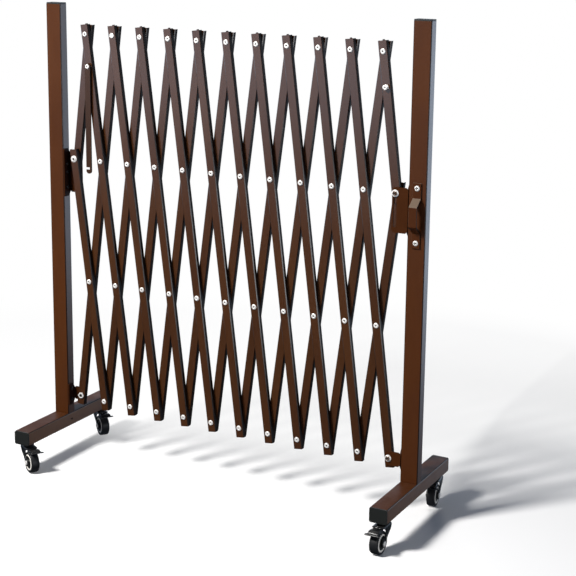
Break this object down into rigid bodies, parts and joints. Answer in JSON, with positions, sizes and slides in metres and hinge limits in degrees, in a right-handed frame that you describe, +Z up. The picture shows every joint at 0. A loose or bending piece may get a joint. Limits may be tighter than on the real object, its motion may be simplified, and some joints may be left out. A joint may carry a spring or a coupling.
{
  "type": "expandable barricade",
  "caption": "Mobile folding barrier: wheeled end posts joined by a scissor lattice of riveted channel slats that opens along a line, with a pull handle, a hook strap and braked casters.",
  "frame": {"origin": "on the floor, midway between the two posts' axes", "axes": "+X along the barrier from the left end to the end with the pull handle, +Y to the back, +Z up"},
  "size_m": [0.9574, 0.3683, 1.085],
  "materials": {
    "brown_paint": "dark brown semi-gloss powder coat on steel",
    "bracket_paint": "near-black paint on bent steel plate",
    "rivet_steel": "bright zinc plating",
    "zinc_steel": "zinc plating, slightly dull",
    "cap_plastic": "black moulded plastic, satin",
    "fork_paint": "black coated stamping",
    "tread": "hard dark rubber tread on a pale core",
    "pedal_plastic": "black moulded pedal with a bright lip"
  },
  "bodies": {
    "left_frame": {"left_post": "brown_paint", "left_foot": "brown_paint", "left_end_caps": "cap_plastic", "left_brackets": "bracket_paint", "left_hardware": "zinc_steel"},
    "right_frame": {"right_post": "brown_paint", "right_foot": "brown_paint", "right_end_caps": "cap_plastic", "right_brackets": "bracket_paint", "right_hardware": "zinc_steel", "pull_handle": "brown_paint"},
    "front_01": {"front_slat_01": "brown_paint", "rivets_01": "rivet_steel"},
    "front_02": {"front_slat_02": "brown_paint", "rivets_02": "rivet_steel"},
    "front_03": {"front_slat_03": "brown_paint", "rivets_03": "rivet_steel"},
    "front_04": {"front_slat_04": "brown_paint", "rivets_04": "rivet_steel"},
    "front_05": {"front_slat_05": "brown_paint", "rivets_05": "rivet_steel"},
    "front_06": {"front_slat_06": "brown_paint", "rivets_06": "rivet_steel"},
    "front_07": {"front_slat_07": "brown_paint", "rivets_07": "rivet_steel"},
    "front_08": {"front_slat_08": "brown_paint", "rivets_08": "rivet_steel"},
    "front_09": {"front_slat_09": "brown_paint", "rivets_09": "rivet_steel"},
    "front_10": {"front_slat_10": "brown_paint", "rivets_10": "rivet_steel"},
    "front_11": {"front_slat_11": "brown_paint", "rivets_11": "rivet_steel"},
    "front_12": {"front_slat_12": "brown_paint", "rivets_12": "rivet_steel"},
    "back_01": {"back_slat_01": "brown_paint"},
    "back_02": {"back_slat_02": "brown_paint"},
    "back_03": {"back_slat_03": "brown_paint"},
    "back_04": {"back_slat_04": "brown_paint"},
    "back_05": {"back_slat_05": "brown_paint"},
    "back_06": {"back_slat_06": "brown_paint"},
    "back_07": {"back_slat_07": "brown_paint"},
    "back_08": {"back_slat_08": "brown_paint"},
    "back_09": {"back_slat_09": "brown_paint"},
    "back_10": {"back_slat_10": "brown_paint"},
    "back_11": {"back_slat_11": "brown_paint"},
    "back_12": {"back_slat_12": "brown_paint"},
    "hook_strap": {"hook_strap": "brown_paint"},
    "caster_fork_left_front": {"caster_fork_left_front": "fork_paint"},
    "caster_wheel_left_front": {"caster_wheel_left_front": "tread"},
    "brake_pedal_left_front": {"brake_pedal_left_front": "pedal_plastic"},
    "caster_fork_left_rear": {"caster_fork_left_rear": "fork_paint"},
    "caster_wheel_left_rear": {"caster_wheel_left_rear": "tread"},
    "brake_pedal_left_rear": {"brake_pedal_left_rear": "pedal_plastic"},
    "caster_fork_right_front": {"caster_fork_right_front": "fork_paint"},
    "caster_wheel_right_front": {"caster_wheel_right_front": "tread"},
    "brake_pedal_right_front": {"brake_pedal_right_front": "pedal_plastic"},
    "caster_fork_right_rear": {"caster_fork_right_rear": "fork_paint"},
    "caster_wheel_right_rear": {"caster_wheel_right_rear": "tread"},
    "brake_pedal_right_rear": {"brake_pedal_right_rear": "pedal_plastic"}
  },
  "joints": [
    {"name": "fold", "type": "hinge", "parent": "left_frame", "child": "back_02", "pos_m": [-0.407, 0, 0.148], "axis": [0, 1, 0], "range_deg": [-4.97, 21.71]},
    {"name": "turn_front_03", "type": "hinge", "parent": "back_02", "child": "front_03", "pos_m": [-0.296, 0, 1.01694], "axis": [0, 1, 0], "range_deg": [-43.43, 9.97]},
    {"name": "turn_back_05", "type": "hinge", "parent": "front_03", "child": "back_05", "pos_m": [-0.185, 0, 0.148], "axis": [0, 1, 0], "range_deg": [-9.97, 43.43]},
    {"name": "turn_front_06", "type": "hinge", "parent": "back_05", "child": "front_06", "pos_m": [-0.074, 0, 1.01694], "axis": [0, 1, 0], "range_deg": [-43.43, 9.97]},
    {"name": "turn_back_08", "type": "hinge", "parent": "front_06", "child": "back_08", "pos_m": [0.037, 0, 0.148], "axis": [0, 1, 0], "range_deg": [-9.97, 43.43]},
    {"name": "turn_front_09", "type": "hinge", "parent": "back_08", "child": "front_09", "pos_m": [0.148, 0, 1.01694], "axis": [0, 1, 0], "range_deg": [-43.43, 9.97]},
    {"name": "turn_back_11", "type": "hinge", "parent": "front_09", "child": "back_11", "pos_m": [0.259, 0, 0.148], "axis": [0, 1, 0], "range_deg": [-9.97, 43.43]},
    {"name": "turn_front_11", "type": "hinge", "parent": "back_11", "child": "front_11", "pos_m": [0.333, 0, 0.72729], "axis": [0, 1, 0], "range_deg": [-43.43, 9.97]},
    {"name": "turn_front_01", "type": "hinge", "parent": "back_02", "child": "front_01", "pos_m": [-0.37, 0, 0.43765], "axis": [0, 1, 0], "range_deg": [-43.43, 9.97]},
    {"name": "turn_front_02", "type": "hinge", "parent": "back_02", "child": "front_02", "pos_m": [-0.333, 0, 0.72729], "axis": [0, 1, 0], "range_deg": [-43.43, 9.97]},
    {"name": "turn_back_01", "type": "hinge", "parent": "front_02", "child": "back_01", "pos_m": [-0.37, 0, 1.01694], "axis": [0, 1, 0], "range_deg": [-9.97, 43.43]},
    {"name": "turn_back_03", "type": "hinge", "parent": "front_03", "child": "back_03", "pos_m": [-0.259, 0, 0.72729], "axis": [0, 1, 0], "range_deg": [-9.97, 43.43]},
    {"name": "turn_back_04", "type": "hinge", "parent": "front_03", "child": "back_04", "pos_m": [-0.222, 0, 0.43765], "axis": [0, 1, 0], "range_deg": [-9.97, 43.43]},
    {"name": "turn_front_04", "type": "hinge", "parent": "back_05", "child": "front_04", "pos_m": [-0.148, 0, 0.43765], "axis": [0, 1, 0], "range_deg": [-43.43, 9.97]},
    {"name": "turn_front_05", "type": "hinge", "parent": "back_05", "child": "front_05", "pos_m": [-0.111, 0, 0.72729], "axis": [0, 1, 0], "range_deg": [-43.43, 9.97]},
    {"name": "turn_back_06", "type": "hinge", "parent": "front_06", "child": "back_06", "pos_m": [-0.037, 0, 0.72729], "axis": [0, 1, 0], "range_deg": [-9.97, 43.43]},
    {"name": "turn_back_07", "type": "hinge", "parent": "front_06", "child": "back_07", "pos_m": [0, 0, 0.43765], "axis": [0, 1, 0], "range_deg": [-9.97, 43.43]},
    {"name": "turn_front_07", "type": "hinge", "parent": "back_08", "child": "front_07", "pos_m": [0.074, 0, 0.43765], "axis": [0, 1, 0], "range_deg": [-43.43, 9.97]},
    {"name": "turn_front_08", "type": "hinge", "parent": "back_08", "child": "front_08", "pos_m": [0.111, 0, 0.72729], "axis": [0, 1, 0], "range_deg": [-43.43, 9.97]},
    {"name": "turn_back_09", "type": "hinge", "parent": "front_09", "child": "back_09", "pos_m": [0.185, 0, 0.72729], "axis": [0, 1, 0], "range_deg": [-9.97, 43.43]},
    {"name": "turn_back_10", "type": "hinge", "parent": "front_09", "child": "back_10", "pos_m": [0.222, 0, 0.43765], "axis": [0, 1, 0], "range_deg": [-9.97, 43.43]},
    {"name": "turn_front_10", "type": "hinge", "parent": "back_11", "child": "front_10", "pos_m": [0.296, 0, 0.43765], "axis": [0, 1, 0], "range_deg": [-43.43, 9.97]},
    {"name": "turn_back_12", "type": "hinge", "parent": "front_11", "child": "back_12", "pos_m": [0.37, 0, 0.43765], "axis": [0, 1, 0], "range_deg": [-9.97, 43.43]},
    {"name": "turn_front_12", "type": "hinge", "parent": "back_11", "child": "front_12", "pos_m": [0.37, 0, 1.01694], "axis": [0, 1, 0], "range_deg": [-43.43, 9.97]},
    {"name": "turn_right_frame", "type": "hinge", "parent": "front_11", "child": "right_frame", "pos_m": [0.407, 0, 0.148], "axis": [0, 1, 0], "range_deg": [-4.99, 21.73]},
    {"name": "strap_swing", "type": "hinge", "parent": "front_02", "child": "hook_strap", "pos_m": [-0.36075, 0, 0.94453], "axis": [0, -1, 0], "range_deg": [-60, 85]},
    {"name": "swivel_left_front", "type": "hinge", "parent": "left_frame", "child": "caster_fork_left_front", "pos_m": [-0.456, -0.145, 0.06], "axis": [0, 0, 1], "continuous": true},
    {"name": "roll_left_front", "type": "hinge", "parent": "caster_fork_left_front", "child": "caster_wheel_left_front", "pos_m": [-0.43886, -0.1553, 0.025], "axis": [0.515, 0.8572, 0], "continuous": true},
    {"name": "brake_left_front", "type": "hinge", "parent": "caster_fork_left_front", "child": "brake_pedal_left_front", "pos_m": [-0.438, -0.15582, 0.0535], "axis": [0.515, 0.8572, 0], "range_deg": [0, 8]},
    {"name": "swivel_left_rear", "type": "hinge", "parent": "left_frame", "child": "caster_fork_left_rear", "pos_m": [-0.456, 0.145, 0.06], "axis": [0, 0, 1], "continuous": true},
    {"name": "roll_left_rear", "type": "hinge", "parent": "caster_fork_left_rear", "child": "caster_wheel_left_rear", "pos_m": [-0.43982, 0.13324, 0.025], "axis": [0.5878, 0.809, 0], "continuous": true},
    {"name": "brake_left_rear", "type": "hinge", "parent": "caster_fork_left_rear", "child": "brake_pedal_left_rear", "pos_m": [-0.43901, 0.13266, 0.0535], "axis": [0.5878, 0.809, 0], "range_deg": [0, 8]},
    {"name": "swivel_right_front", "type": "hinge", "parent": "right_frame", "child": "caster_fork_right_front", "pos_m": [0.456, -0.145, 0.06], "axis": [0, 0, 1], "continuous": true},
    {"name": "roll_right_front", "type": "hinge", "parent": "caster_fork_right_front", "child": "caster_wheel_right_front", "pos_m": [0.45565, -0.165, 0.025], "axis": [0.9998, -0.0175, 0], "continuous": true},
    {"name": "brake_right_front", "type": "hinge", "parent": "caster_fork_right_front", "child": "brake_pedal_right_front", "pos_m": [0.45563, -0.166, 0.0535], "axis": [0.9998, -0.0175, 0], "range_deg": [-8, 0]},
    {"name": "swivel_right_rear", "type": "hinge", "parent": "right_frame", "child": "caster_fork_right_rear", "pos_m": [0.456, 0.145, 0.06], "axis": [0, 0, 1], "continuous": true},
    {"name": "roll_right_rear", "type": "hinge", "parent": "caster_fork_right_rear", "child": "caster_wheel_right_rear", "pos_m": [0.45878, 0.1252, 0.025], "axis": [0.9903, 0.1392, 0], "continuous": true},
    {"name": "brake_right_rear", "type": "hinge", "parent": "caster_fork_right_rear", "child": "brake_pedal_right_rear", "pos_m": [0.45892, 0.1242, 0.0535], "axis": [0.9903, 0.1392, 0], "range_deg": [-8, 0]}
  ],
  "couplings": [
    {"joint": "turn_front_03", "follows": "fold", "ratio": -2},
    {"joint": "turn_back_05", "follows": "fold", "ratio": 2},
    {"joint": "turn_front_06", "follows": "fold", "ratio": -2},
    {"joint": "turn_back_08", "follows": "fold", "ratio": 2},
    {"joint": "turn_front_09", "follows": "fold", "ratio": -2},
    {"joint": "turn_back_11", "follows": "fold", "ratio": 2},
    {"joint": "turn_front_11", "follows": "fold", "ratio": -2},
    {"joint": "turn_front_01", "follows": "fold", "ratio": -2},
    {"joint": "turn_front_02", "follows": "fold", "ratio": -2},
    {"joint": "turn_back_01", "follows": "fold", "ratio": 2},
    {"joint": "turn_back_03", "follows": "fold", "ratio": 2},
    {"joint": "turn_back_04", "follows": "fold", "ratio": 2},
    {"joint": "turn_front_04", "follows": "fold", "ratio": -2},
    {"joint": "turn_front_05", "follows": "fold", "ratio": -2},
    {"joint": "turn_back_06", "follows": "fold", "ratio": 2},
    {"joint": "turn_back_07", "follows": "fold", "ratio": 2},
    {"joint": "turn_front_07", "follows": "fold", "ratio": -2},
    {"joint": "turn_front_08", "follows": "fold", "ratio": -2},
    {"joint": "turn_back_09", "follows": "fold", "ratio": 2},
    {"joint": "turn_back_10", "follows": "fold", "ratio": 2},
    {"joint": "turn_front_10", "follows": "fold", "ratio": -2},
    {"joint": "turn_back_12", "follows": "fold", "ratio": 2},
    {"joint": "turn_front_12", "follows": "fold", "ratio": -2},
    {"joint": "turn_right_frame", "follows": "fold", "ratio": 1}
  ]
}
